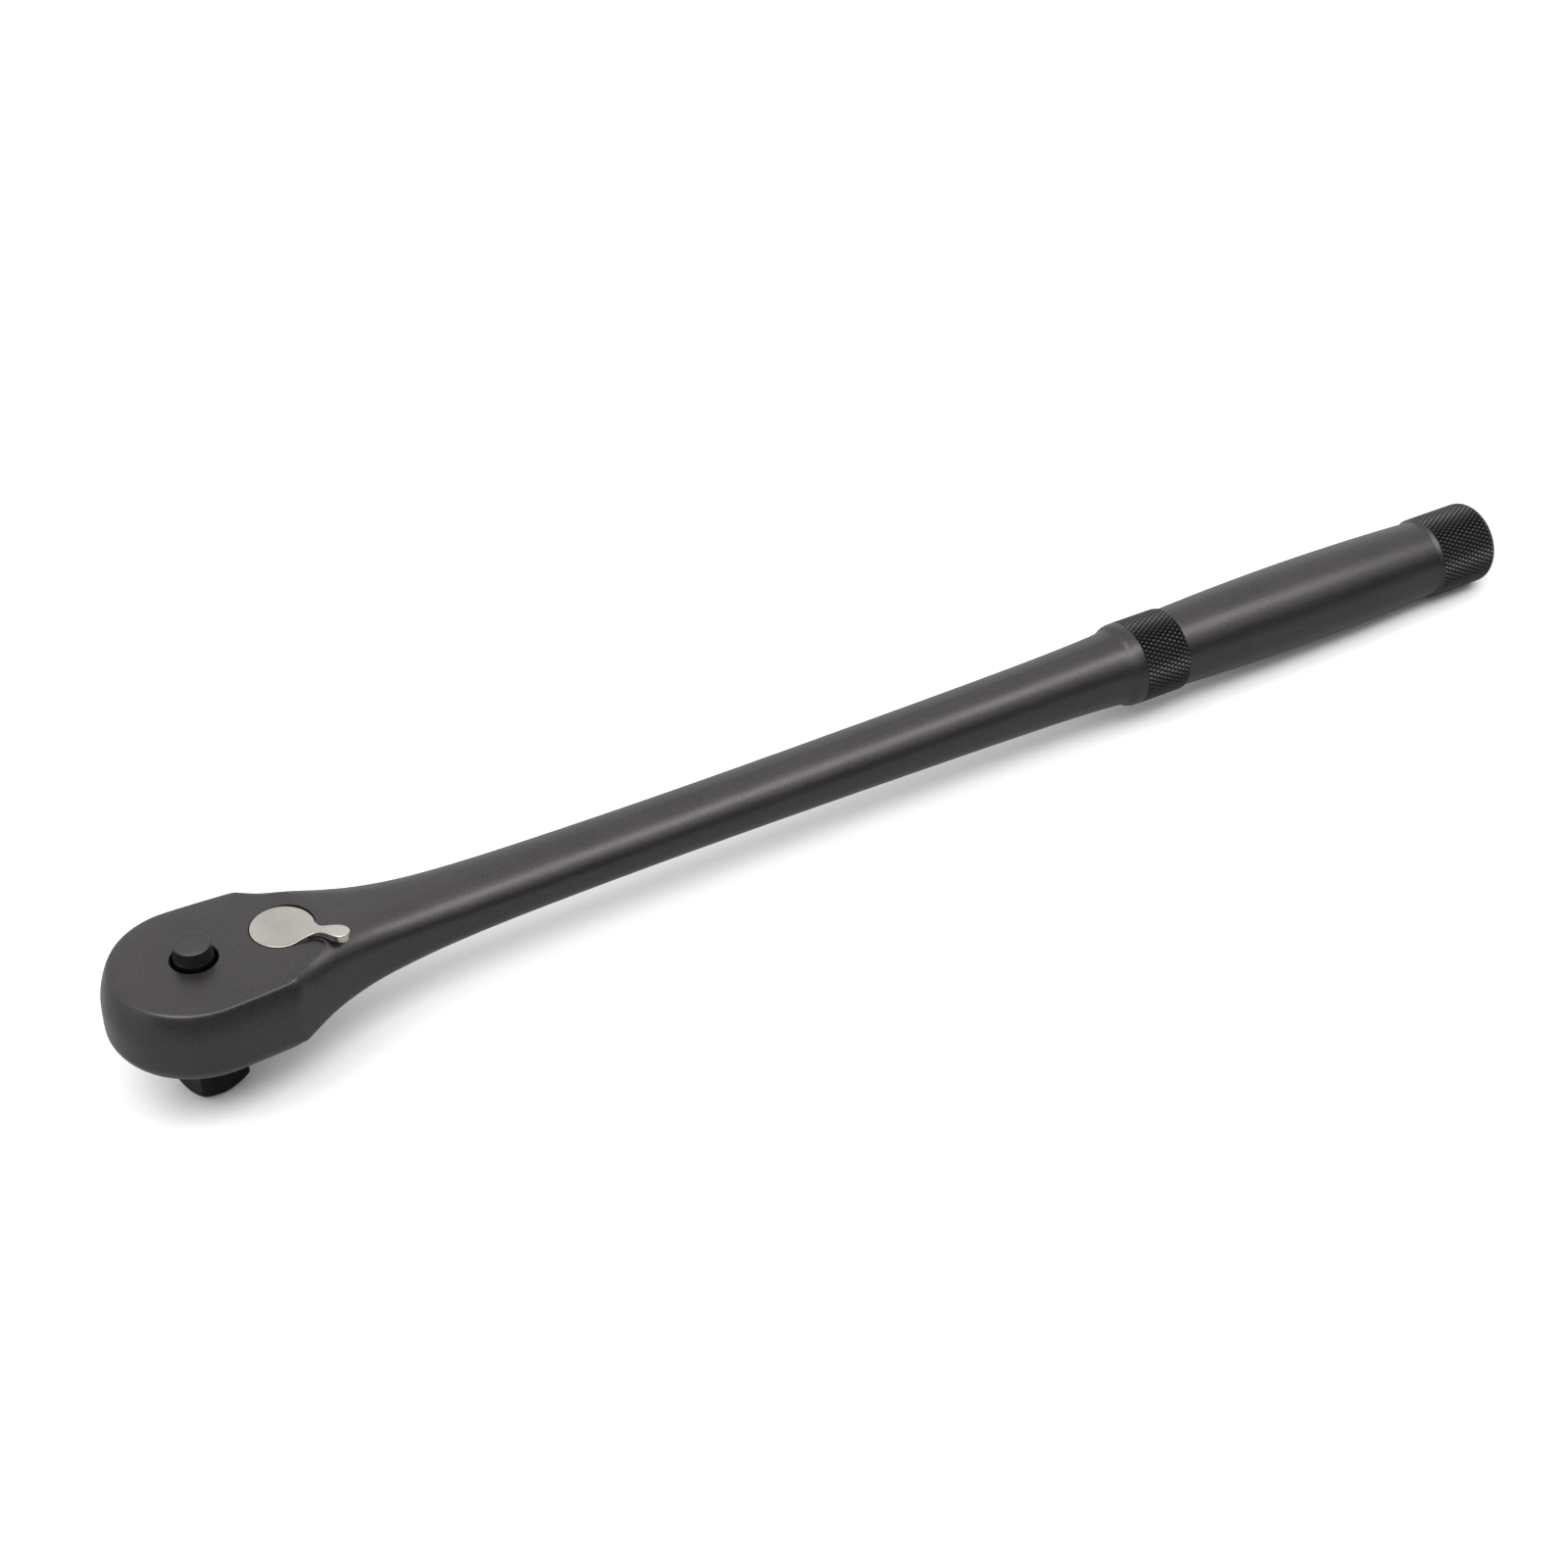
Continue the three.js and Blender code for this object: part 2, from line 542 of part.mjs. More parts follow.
function hubSeal() {
  const inner = LOWER_JOURNAL_RADIUS + 0.05;
  return ring(inner, HUB_SEAL_OUTER_RADIUS, HUB_SEAL_BOTTOM, HUB_SEAL_BOTTOM + 0.65);
}

function thrustWasher() {
  const inner = LOWER_JOURNAL_RADIUS + 0.3;
  return ring(inner, GEAR_TIP_RADIUS - 0.2, GEAR_BOTTOM - 0.65, GEAR_BOTTOM - 0.2);
}

function coverGasket() {
  const bottom = HEAD_BOTTOM + COVER_THICKNESS + 0.15;
  const top = bottom + GASKET_THICKNESS;
  const body = solid(plate(coverOutline(0.1), bottom, top)).subtract(pocket(bottom - 1, top + 1));
  return SCREW_PLACES.reduce(
    (rest, [x, y]) => rest.subtract(solid(rod(SCREW_RADIUS + 0.2, 0, HEAD_TOP, x, y, 24))),
    body,
  );
}

function coverScrew(x, y) {
  const socket = new THREE.CylinderGeometry(1.15, 1.15, 2.4, 6).rotateX(Math.PI / 2);
  return solid(screwBlank(0))
    .subtract(solid(socket.translate(0, 0, HEAD_BOTTOM)))
    .translate(x, y, 0);
}

// Assembly

add('handle_forging', geometryOf(handleForging()), blackOxide);
add('cover_plate', geometryOf(coverPlate()), blackOxide);
add('cover_gasket', geometryOf(coverGasket()), gasketFibre);
SCREW_PLACES.forEach(([x, y], i) => {
  add(`cover_screw_${i + 1}`, geometryOf(coverScrew(x, y)), deepBlack);
});
add('hub_seal', hubSeal(), blackRubber);
add('thrust_washer', thrustWasher(), springSteel);

const drive = new THREE.Group();
drive.rotation.z = degrees(SQUARE_TURN);
tool.add(drive);
add('socket_ball', socketBall(), springSteel, drive);
add('drive_gear', geometryOf(driveGear()), deepBlack, drive);
add('release_button', releaseButton(), deepBlack, drive);
add('release_spring', releaseSpring(), springSteel, drive);

add('pawl', pawl(), hardenedSteel);
add('lever_seal', leverSeal(), blackRubber);

const lever = new THREE.Group();
lever.position.x = LEVER_X;
lever.rotation.z = degrees(LEVER_TAIL_ANGLE);
tool.add(lever);
add('reverse_lever', geometryOf(reverseLever()), satinNickel, lever);
add('lever_clip', retainingClip(), springSteel, lever);
add('detent_ball', detentBall(), springSteel, lever);
add('detent_spring', detentSpring(), springSteel, lever);

export default tool;
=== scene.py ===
"""A half-inch drive ratchet handle with a knurled steel grip, a push-button release and a reversing lever."""

import json
from math import cos, exp, pi, radians, sin

import bmesh
import bpy
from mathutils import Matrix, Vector

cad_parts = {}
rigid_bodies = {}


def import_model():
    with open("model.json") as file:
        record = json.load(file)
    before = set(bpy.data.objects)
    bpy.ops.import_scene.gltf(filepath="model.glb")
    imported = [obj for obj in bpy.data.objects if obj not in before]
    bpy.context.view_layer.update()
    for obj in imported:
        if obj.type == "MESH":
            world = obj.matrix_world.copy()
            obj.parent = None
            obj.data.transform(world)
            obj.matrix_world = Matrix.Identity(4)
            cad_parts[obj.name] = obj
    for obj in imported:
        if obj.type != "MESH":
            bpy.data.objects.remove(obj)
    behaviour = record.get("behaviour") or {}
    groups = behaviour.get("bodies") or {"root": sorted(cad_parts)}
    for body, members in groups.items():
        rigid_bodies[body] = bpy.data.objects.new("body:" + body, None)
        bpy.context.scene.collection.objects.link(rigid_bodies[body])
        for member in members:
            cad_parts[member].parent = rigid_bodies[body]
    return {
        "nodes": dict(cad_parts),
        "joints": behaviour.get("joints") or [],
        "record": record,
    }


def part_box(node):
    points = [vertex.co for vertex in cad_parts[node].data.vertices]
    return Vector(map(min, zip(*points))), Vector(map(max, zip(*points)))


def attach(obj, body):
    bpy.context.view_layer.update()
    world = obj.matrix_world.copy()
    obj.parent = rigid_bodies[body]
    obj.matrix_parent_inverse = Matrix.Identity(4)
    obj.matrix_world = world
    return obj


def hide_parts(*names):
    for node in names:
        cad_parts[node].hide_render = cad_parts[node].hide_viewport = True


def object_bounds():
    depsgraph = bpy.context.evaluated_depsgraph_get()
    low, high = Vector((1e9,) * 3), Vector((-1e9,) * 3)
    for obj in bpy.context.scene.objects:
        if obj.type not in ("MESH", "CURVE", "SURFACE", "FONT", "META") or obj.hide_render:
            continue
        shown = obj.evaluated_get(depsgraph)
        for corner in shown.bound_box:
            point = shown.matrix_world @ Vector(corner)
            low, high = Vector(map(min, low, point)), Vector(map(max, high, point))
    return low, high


for leftover in list(bpy.data.objects):
    bpy.data.objects.remove(leftover)
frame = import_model()
cad_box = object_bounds()
mm = 0.001
faces_at = {mount["name"]: Vector(mount["pos_m"]) for mount in frame["record"]["mounts"]}
head_top = faces_at["head_top"].z
head_bottom = faces_at["cover_face"].z


# ---------------------------------------------------------------------------------------------
# Studio. A wide soft lamp over the front, a smaller one beyond the nose, and a white room that is darker
# low down in front. The tool rests on its square and the end of its grip, so the pale floor rises slightly
# towards the grip. In reflections and bounce light the floor carries painted shade: it is darker there than
# the camera sees it.

grip_end = cad_box[1][0]
grip_foot = 14.5 * mm
floor_reach = 4
floor_slope = grip_foot / (grip_end - 9 * mm)

bpy.ops.object.select_all(action="DESELECT")
bpy.ops.mesh.primitive_plane_add(
    size=2 * floor_reach, location=(0, 0, -0.2 * mm), rotation=(0, -floor_slope, 0)
)
floor = bpy.context.object
floor.name = "floor"

camera = bpy.data.objects.new("camera", bpy.data.cameras.new("camera"))
bpy.context.scene.collection.objects.link(camera)
camera.location = (-0.147107, -0.512276, 0.464483)
camera.rotation_euler = (radians(53.40), radians(0.498), radians(-30.343))
camera.data.lens = 71.02
camera.data.sensor_width = 36
bpy.context.scene.camera = camera
bpy.context.scene.view_settings.view_transform = "Standard"

lamp_distance = 1.5
lamp_height = radians(62)
lamp_direction = Vector((0, -cos(lamp_height), sin(lamp_height)))
lamp = bpy.data.objects.new("soft_lamp", bpy.data.lights.new("soft_lamp", "AREA"))
bpy.context.scene.collection.objects.link(lamp)
lamp.data.shape = "RECTANGLE"
lamp.data.size = 2.8
lamp.data.size_y = 0.5
lamp.data.energy = 17
lamp.location = lamp_direction * lamp_distance
lamp.rotation_euler = lamp_direction.to_track_quat("Z", "Y").to_euler()
lamp.rotation_euler.z += radians(8)

side_lamp = lamp.copy()
side_lamp.data = lamp.data.copy()
bpy.context.scene.collection.objects.link(side_lamp)
side_lamp.data.size = 0.9
side_lamp.data.energy = 5.5
side_direction = Vector((-0.46, -0.1, 0.88))
side_lamp.location = side_direction * lamp_distance
side_lamp.rotation_euler = side_direction.to_track_quat("Z", "X").to_euler()


class Value:
    """A value inside a material. A sum or product of values adds the Math node that works it out."""

    def __init__(self, socket):
        self.socket = socket

    def work(self, operation, *terms):
        node = self.socket.id_data.nodes.new("ShaderNodeMath")
        node.operation = operation
        for place, term in zip(node.inputs, terms):
            feed(place, term)
        return Value(node.outputs[0])

    def __add__(self, other):
        return self.work("ADD", self, other)

    def __sub__(self, other):
        return self.work("SUBTRACT", self, other)

    def __rsub__(self, other):
        return self.work("SUBTRACT", other, self)

    def __mul__(self, other):
        return self.work("MULTIPLY", self, other)

    __radd__ = __add__
    __rmul__ = __mul__


def feed(socket, value):
    """Links a value to a socket, or sets the socket to a plain number or colour."""
    if isinstance(value, Value):
        socket.id_data.links.new(value.socket, socket)
    else:
        socket.default_value = value


class Finish:
    """A surface finish, as a node tree. node() adds one node: its settings first, then its sockets."""

    def __init__(self, owner, shader):
        owner.use_nodes = True
        self.owner = owner
        self.tree = owner.node_tree
        self.shader = self.tree.nodes[shader]
        self.places = self.node("TexCoord", output="Object")

    def node(self, kind, settings=None, output=0, **sockets):
        node = self.tree.nodes.new("ShaderNode" + kind)
        for name, value in (settings or {}).items():
            setattr(node, name, value)
        for name, value in sockets.items():
            feed(node.inputs[name.replace("_", " ")], value)
        return Value(node.outputs[output])

    def set(self, **sockets):
        for name, value in sockets.items():
            feed(self.shader.inputs[name.replace("_", " ")], value)

    def ramp(self, value, low, high, start=0.0, end=1.0):
        """A smooth rise from start to end while value goes from low to high."""
        node = self.tree.nodes.new("ShaderNodeMapRange")
        node.interpolation_type = "SMOOTHSTEP"
        for socket, term in zip(node.inputs, (value, low, high, start, end)):
            feed(socket, term)
        return Value(node.outputs[0])

    def blend(self, share, first, second):
        node = self.tree.nodes.new("ShaderNodeMix")
        node.data_type = "RGBA"
        for place, value in ((0, share), (6, first), (7, second)):
            feed(node.inputs[place], value)
        return Value(node.outputs[2])

    def noise(self, per_metre, detail=2.0, roughness=0.5, stretch=(1, 1, 1)):
        spread = self.node("Mapping", Vector=self.places, Scale=stretch)
        return self.node("TexNoise", Vector=spread, Scale=per_metre, Detail=detail, Roughness=roughness)


paper = Finish(bpy.data.materials.new("pale_paper"), "Principled BSDF")
floor_split = paper.node("SeparateXYZ", Vector=paper.places).socket.node
# Painted shade: in reflections and bounce light the floor's colour falls from 0.42 beside the tool to 0.04
# towards the front, while the camera sees it evenly pale.
towards_front = paper.ramp(Value(floor_split.outputs["Y"]), -0.02, -0.5)
reflected_shade = 0.42 - 0.38 * towards_front
floor_seen = paper.node("LightPath", output="Is Camera Ray")
shade = reflected_shade + floor_seen * (0.9 - reflected_shade)
grey = paper.node("CombineXYZ", X=shade, Y=shade, Z=shade)
paper.set(Base_Color=grey, Roughness=0.9)
floor.data.materials.append(paper.owner)

room = Finish(bpy.data.worlds.new("room"), "Background")
bpy.context.scene.world = room.owner
room_light = 1.12
room_split = room.node("SeparateXYZ", Vector=room.node("TexCoord", output="Generated")).socket.node
outward, height = Value(room_split.outputs["Y"]), Value(room_split.outputs["Z"])
dark_card = room.ramp(outward, -0.05, -0.45) * room.ramp(height, 0.30, 0.62, 1.0, 0.0)
room_seen = room.node("LightPath", output="Is Camera Ray")
strength = room_light - 1.0 * dark_card
room.set(Color=(1, 1, 1, 1), Strength=strength * (1 - room_seen) + room_light * room_seen)


# ---------------------------------------------------------------------------------------------
# Handle forging. One steel forging makes the head, the neck, the shank and the grip; it is milled
# flat on the head, bored for the mechanism, knurled in two bands and finished in black oxide.

head_radius = 21.3 * mm
rim = (2.9 * mm, 8.6 * mm)
rim_fullness = 0.38
foot_round = (1.7 * mm, 3.2 * mm)
lever_axis = Vector(next(j for j in frame["joints"] if j["name"] == "lever_turn")["pos_m"])
grip_axis = 25.2 * mm
knurl_radius = 10.7 * mm
knurl_depth = 0.36 * mm
ring_knurl = 247.3 * mm
ring_end = 260.3 * mm
cap_start = 340.8 * mm


def edit(part):
    bpy.context.view_layer.objects.active = part
    bpy.ops.object.mode_set(mode="EDIT")
    bpy.ops.mesh.select_mode(type="VERT")
    bpy.ops.mesh.select_all(action="DESELECT")


def choose(part, wanted, kind="verts"):
    """Selects what the test accepts: points by their place, or edges and faces by their middle."""
    bpy.ops.mesh.select_mode(type={"verts": "VERT", "edges": "EDGE", "faces": "FACE"}[kind])
    bpy.ops.mesh.select_all(action="DESELECT")
    shape = bmesh.from_edit_mesh(part.data)
    for item in getattr(shape, kind):
        if kind == "verts":
            place = item.co
        elif kind == "edges":
            place = (item.verts[0].co + item.verts[1].co) / 2
        else:
            place = item.calc_center_median()
        item.select_set(wanted(place))
    shape.select_flush_mode()
    bmesh.update_edit_mesh(part.data)


def close(part):
    """Leaves edit mode with doubles merged and faces pointing outwards."""
    bpy.ops.mesh.select_mode(type="VERT")
    bpy.ops.mesh.select_all(action="SELECT")
    bpy.ops.mesh.remove_doubles(threshold=0.001 * mm)
    bpy.ops.mesh.normals_make_consistent(inside=False)
    bpy.ops.object.mode_set(mode="OBJECT")
    part.select_set(False)
    return part


def new_part(name):
    bpy.ops.object.select_all(action="DESELECT")
    part = bpy.data.objects.new(name, bpy.data.meshes.new(name))
    bpy.context.scene.collection.objects.link(part)
    part.select_set(True)
    edit(part)
    return part


def apply_modifier(part, kind, **settings):
    bpy.context.view_layer.objects.active = part
    modifier = part.modifiers.new(kind, kind)
    for name, value in settings.items():
        setattr(modifier, name, value)
    bpy.ops.object.modifier_apply(modifier=modifier.name)


def join_solid(part, other, operation="UNION"):
    apply_modifier(part, "BOOLEAN", operation=operation, solver="EXACT", object=other)
    bpy.data.objects.remove(other)


def cut(part, tool):
    join_solid(part, tool, "DIFFERENCE")


def turned(name, profile, steps=96, along="Z", centre=(0, 0, 0)):
    """A solid turned on an axis through centre. Its profile is a list of (radius, place on the axis)."""
    part = new_part(name)
    centre = Vector(centre)
    axis = Vector((1, 0, 0)) if along == "X" else Vector((0, 0, 1))
    tilt = (0, pi / 2, 0) if along == "X" else (0, 0, 0)
    radius, place = profile[0]
    bpy.ops.mesh.primitive_circle_add(
        vertices=steps, radius=radius, fill_type="NGON", location=centre + axis * place, rotation=tilt
    )
    for next_radius, next_place in profile[1:]:
        bpy.ops.mesh.extrude_region_move(TRANSFORM_OT_translate={"value": axis * (next_place - place)})
        share = next_radius / radius
        scale = (1, share, share) if along == "X" else (share, share, 1)
        bpy.ops.transform.resize(value=scale, center_override=centre + axis * next_place)
        radius, place = next_radius, next_place
    return close(part)


def add_section(x, half_width, bottom, top, corners, profile=0.5):
    """A cross-section of the blank: a rectangle whose corners are rounded by so much across and up.
    corners holds (across, rise) for the upper pair and then for the lower pair. profile is how full
    a corner is, and 0.5 makes an arc."""
    middle = (x, 0, (bottom + top) / 2)
    bpy.ops.mesh.select_all(action="DESELECT")
    bpy.ops.mesh.primitive_plane_add(size=1, location=middle, rotation=(0, pi / 2, 0))
    bpy.ops.transform.resize(value=(1, 2 * half_width, top - bottom), center_override=middle)
    for level, (across, rise) in zip((top, bottom), corners):
        stretch = across / rise
        here = 0.001 * mm
        choose(forging, lambda p: abs(p.x - x) < here)
        bpy.ops.transform.resize(value=(1, 1 / stretch, 1), center_override=middle)
        choose(forging, lambda p: abs(p.x - x) < here and abs(p.z - level) < here)
        bpy.ops.mesh.bevel(affect="VERTICES", offset=rise, segments=6, profile=profile)
        choose(forging, lambda p: abs(p.x - x) < here)
        bpy.ops.transform.resize(value=(1, stretch, 1), center_override=middle)
    bpy.ops.mesh.delete(type="ONLY_FACE")


def smoothstep(value, low, high):
    share = min(max((value - low) / (high - low), 0), 1)
    return share * share * (3 - 2 * share)


# The head, from the drive axis to its corner, and then the neck and shank up to the knurled ring.
# A row is (distance along the handle, half-width, half-height where it isn't the head's).
head_rows = [(0, head_radius), (8, 20.85 * mm), (13, 20.5 * mm), (15.3, 20.3 * mm)]
neck_rows = [
    (16.4, 19.8, 0), (18, 19.0, 0), (21, 17.6, 0), (24, 16.2, 0), (28, 14.7, 0), (32, 13.4, 9.35),
    (36, 12.3, 8.95), (40, 11.3, 8.5), (46, 10.4, 7.95), (52, 9.75, 7.6), (62, 9.2, 7.2),
    (80, 8.6, 7.0), (120, 8.2, 6.9), (160, 8.2, 7.4), (200, 8.4, 8.0), (225, 8.7, 8.5),
    (238, 9.15, 9.15), (242.6, 9.45, 9.45), (243.7, 9.85, 9.85), (244.5, 10.4, 10.4),
    (245.5, 10.68, 10.68), (246.6, 10.7, 10.7), (247.3, 10.7, 10.7),
]

forging = new_part("forging")
for x, half_width in head_rows:
    add_section(x * mm, half_width, head_bottom, head_top, (rim, foot_round), rim_fullness)
for x, half_width, half_height in neck_rows:
    axis_height = 25.8 * mm - 0.6 * mm * smoothstep(x, 24, 56)
    top = axis_height + half_height * mm
    bottom = max(axis_height - half_height * mm, head_bottom) if x < 45 else axis_height - half_height * mm
    if half_height == 0:
        top = head_top + 0.6 * mm * smoothstep(x, 21, 25.5)
        bottom = head_bottom
    roundness = min(1 - 0.85 * exp(-(x - 16) / 24), 0.985)
    across = roundness * half_width * mm
    half_rise = (top - bottom) / 2
    add_section(
        x * mm, half_width * mm, bottom, top,
        ((across, max(roundness, 0.76) * half_rise), (across, roundness * half_rise)),
    )
bpy.ops.mesh.select_all(action="SELECT")
bpy.ops.mesh.bridge_edge_loops(type="SINGLE")

# The nose is one side of the first section spun round the drive axis, with its top and bottom filled.
choose(forging, lambda p: abs(p.x) < 0.01 * mm and p.y < 0)
bpy.ops.mesh.spin(steps=24, angle=pi, center=(0, 0, 0), axis=(0, 0, 1))
bpy.ops.mesh.select_all(action="SELECT")
bpy.ops.mesh.remove_doubles(threshold=0.005 * mm)
for level in (head_top, head_bottom):
    choose(forging, lambda p: abs(p.z - level) < 0.01 * mm and p.x < 0.01 * mm)
    bpy.ops.mesh.edge_face_add()
choose(forging, lambda p: abs(p.x - ring_knurl) < 0.01 * mm)
bpy.ops.mesh.edge_face_add()
choose(forging, lambda p: abs(p.x - ring_knurl) < 0.01 * mm, "edges")
bpy.ops.transform.edge_crease(value=1)
close(forging)
apply_modifier(forging, "SUBSURF", levels=2, render_levels=2)


def grip_radius(x):
    """The barrel swells from each knurled band to its middle."""
    middle = (ring_end + cap_start) / 2
    return 11.05 * mm - 0.95 * mm * ((x - middle) / (cap_start - middle)) ** 2


barrel_steps = 14
barrel = [ring_end + (cap_start - ring_end) * i / barrel_steps for i in range(barrel_steps + 1)]
grip_profile = [(9.9 * mm, ring_knurl - 1 * mm), (10.1 * mm, ring_end - 0.5 * mm)]
grip_profile += [(grip_radius(x), x) for x in barrel]
grip_profile += [
    (10.16 * mm, cap_start + 0.2 * mm), (10.28 * mm, cap_start + 0.4 * mm),
    (10.46 * mm, cap_start + 0.6 * mm), (10.58 * mm, cap_start + 0.8 * mm),
    (10.64 * mm, cap_start + 1.0 * mm), (10.64 * mm, cap_start + 1.15 * mm),
    (10.1 * mm, cap_start + 1.5 * mm), (9.9 * mm, grip_end - 4 * mm), (7 * mm, grip_end - 2.5 * mm),
]
join_solid(forging, turned("grip", grip_profile, 108, "X", (0, 0, grip_axis)))

# One diamond of the knurl is a flat lozenge, inset and raised. It is copied along the band and round
# it, with every second diamond half a step on both ways, and the band is then cut square.
knurl_starts = 54
knurl_angle = 2 * pi / knurl_starts
knurl_width = knurl_angle * knurl_radius
knurl_length = knurl_width / 0.577


def knurled_rod(name, start, end):
    part = new_part(name)
    floor_radius = knurl_radius - knurl_depth
    bpy.ops.mesh.primitive_circle_add(vertices=4, radius=knurl_length / 2, fill_type="NGON")
    bpy.ops.transform.resize(value=(1, floor_radius * sin(knurl_angle / 2) / (knurl_length / 2), 1))
    bpy.ops.transform.translate(value=(start - knurl_length, 0, floor_radius))
    choose(part, lambda p: abs(p.y) > 0.1 * mm)
    bpy.ops.transform.translate(value=(0, 0, floor_radius * (cos(knurl_angle / 2) - 1)))
    choose(part, lambda p: True, "faces")
    bpy.ops.mesh.inset(thickness=0.3 * mm, depth=0.8 * knurl_depth)
    bpy.ops.mesh.inset(thickness=0.08 * mm, depth=0.2 * knurl_depth)
    bpy.ops.mesh.select_all(action="SELECT")
    bpy.ops.mesh.duplicate()
    bpy.ops.transform.translate(value=(knurl_length / 2, 0, 0))
    bpy.ops.transform.rotate(value=knurl_angle / 2, orient_axis="X", center_override=(0, 0, 0))
    bpy.ops.object.mode_set(mode="OBJECT")
    rows = int((end - start) / knurl_length) + 3
    apply_modifier(
        part, "ARRAY", count=rows, use_relative_offset=False,
        use_constant_offset=True, constant_offset_displace=(knurl_length, 0, 0),
    )
    step = bpy.data.objects.new("knurl_step", None)
    bpy.context.scene.collection.objects.link(step)
    step.rotation_euler.x = knurl_angle
    bpy.context.view_layer.update()
    apply_modifier(
        part, "ARRAY", count=knurl_starts, use_relative_offset=False,
        use_object_offset=True, offset_object=step,
    )
    bpy.data.objects.remove(step)
    edit(part)
    bpy.ops.mesh.select_all(action="SELECT")
    bpy.ops.mesh.remove_doubles(threshold=0.01 * mm)
    for place, facing in ((start, -1), (end, 1)):
        bpy.ops.mesh.select_all(action="SELECT")
        bpy.ops.mesh.bisect(
            plane_co=(place, 0, 0), plane_no=(facing, 0, 0),
            use_fill=True, clear_outer=True, threshold=0.0001 * mm,
        )
    bpy.ops.mesh.select_all(action="SELECT")
    bpy.ops.transform.translate(value=(0, 0, grip_axis))
    return close(part)


ring_band = knurled_rod("ring_band", ring_knurl - 0.1 * mm, ring_end)
ring_edge = turned(
    "ring_edge",
    [(11 * mm, ring_knurl - 1 * mm), (11 * mm, ring_end - 0.75 * mm), (10.2 * mm, ring_end + 0.05 * mm)],
    108, "X", (0, 0, grip_axis),
)
join_solid(ring_band, ring_edge, "INTERSECT")
join_solid(forging, ring_band)

cap_band = knurled_rod("cap_band", cap_start + 1.0 * mm, grip_end - 0.02 * mm)
dome_radius = 3.6 * mm
dome = [(11 * mm, cap_start)]
for step in range(9):
    turn = radians(4 + 10 * step)
    dome.append((
        knurl_radius + 0.06 * mm - dome_radius * (1 - cos(turn)),
        grip_end - dome_radius * (1 - sin(turn)),
    ))
join_solid(cap_band, turned("dome", dome, 108, "X", (0, 0, grip_axis)), "INTERSECT")
join_solid(forging, cap_band)

# The head's top is milled flat as far as the lever's disc: the cut ends on each side of the disc in a
# shallow pocket with a rounded inner corner.
for side in (-1, 1):
    pocket = new_part("milled_flat")
    middle = Vector((24 * mm, side * 17.55 * mm, head_top + 2 * mm))
    bpy.ops.mesh.primitive_cube_add(size=1, location=middle)
    bpy.ops.transform.resize(value=(5 * mm, 20 * mm, 4 * mm), center_override=middle)
    choose(pocket, lambda p: p.x > 26 * mm and abs(p.y) < 9 * mm and abs(p.z - middle.z) < 1 * mm, "edges")
    bpy.ops.mesh.bevel(offset=3 * mm, segments=12)
    cut(forging, close(pocket))
# The bores and pockets that hold the mechanism.
cut(forging, turned("button_bore", [
    (5.3 * mm, 29 * mm), (5.3 * mm, head_top - 0.22 * mm), (5.6 * mm, head_top + 0.08 * mm),
    (5.6 * mm, 36 * mm),
], 72))
cut(forging, turned("lever_bore", [
    (3.6 * mm, 29 * mm), (3.6 * mm, 31.8 * mm), (4.8 * mm, 31.8 * mm), (4.8 * mm, 32.8 * mm),
    (7.4 * mm, 32.8 * mm), (7.4 * mm, 36 * mm),
], 72, centre=lever_axis))
cut(forging, turned("gear_well", [
    (13 * mm, 17 * mm), (13 * mm, 29.5 * mm), (7.75 * mm, 29.5 * mm), (7.75 * mm, 31.6 * mm),
], 72))
cut(forging, turned("pawl_well", [(7.2 * mm, 17 * mm), (7.2 * mm, 29.52 * mm)], 72, centre=lever_axis))
fan = turned("pawl_fan", [(17.8 * mm, 17 * mm), (17.8 * mm, 29.48 * mm)], 72)
edit(fan)
for side in (-1, 1):
    bpy.ops.mesh.select_all(action="SELECT")
    bpy.ops.mesh.bisect(
        plane_co=(0, 0, 0), plane_no=(-sin(radians(63)), side * cos(radians(63)), 0),
        use_fill=True, clear_outer=True, threshold=0.0001 * mm,
    )
cut(forging, close(fan))


def cover_blank(name, grow, bottom, top):
    """The cover's outline as a solid: a hull round its nose, its two shoulders and its tail."""
    part = new_part(name)
    circles = [(0, 0, 18.9, 72), (14.2, -17.6, 0.6, 16), (14.2, 17.6, 0.6, 16), (31.4, 0, 4.2, 36)]
    for x, y, radius, steps in circles:
        for level in (bottom, top):
            bpy.ops.mesh.primitive_circle_add(
                vertices=steps, radius=radius * mm + grow, location=(x * mm, y * mm, level)
            )
    bpy.ops.mesh.select_all(action="SELECT")
    bpy.ops.mesh.convex_hull(delete_unused=True, face_threshold=radians(1), shape_threshold=radians(1))
    return close(part)


cut(forging, cover_blank("cover_recess", 0.15 * mm, 16 * mm, 20 * mm))


def screw_blank(name, grow, node):
    """A countersunk screw's outer shape at the place of a CAD screw."""
    low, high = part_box(node)
    middle = (low + high) / 2
    head = (high.x - low.x) / 2 + grow
    shank = 1.45 * mm + grow
    face = low.z - grow
    return turned(name, [
        (head, face), (head, low.z + 0.2 * mm), (shank, low.z + 1.5 * mm), (shank, high.z + grow),
    ], 48, centre=(middle.x, middle.y, 0))


screw_nodes = ["cover_screw_1", "cover_screw_2", "cover_screw_3"]
for screw_node in screw_nodes:
    cut(forging, screw_blank("screw_hole", 0.1 * mm, screw_node))


def smooth(part, angle=30):
    bpy.ops.object.select_all(action="DESELECT")
    part.select_set(True)
    bpy.context.view_layer.objects.active = part
    bpy.ops.object.shade_smooth_by_angle(angle=radians(angle))
    apply_modifier(part, "WEIGHTED_NORMAL", keep_sharp=True, weight=80)


smooth(forging)

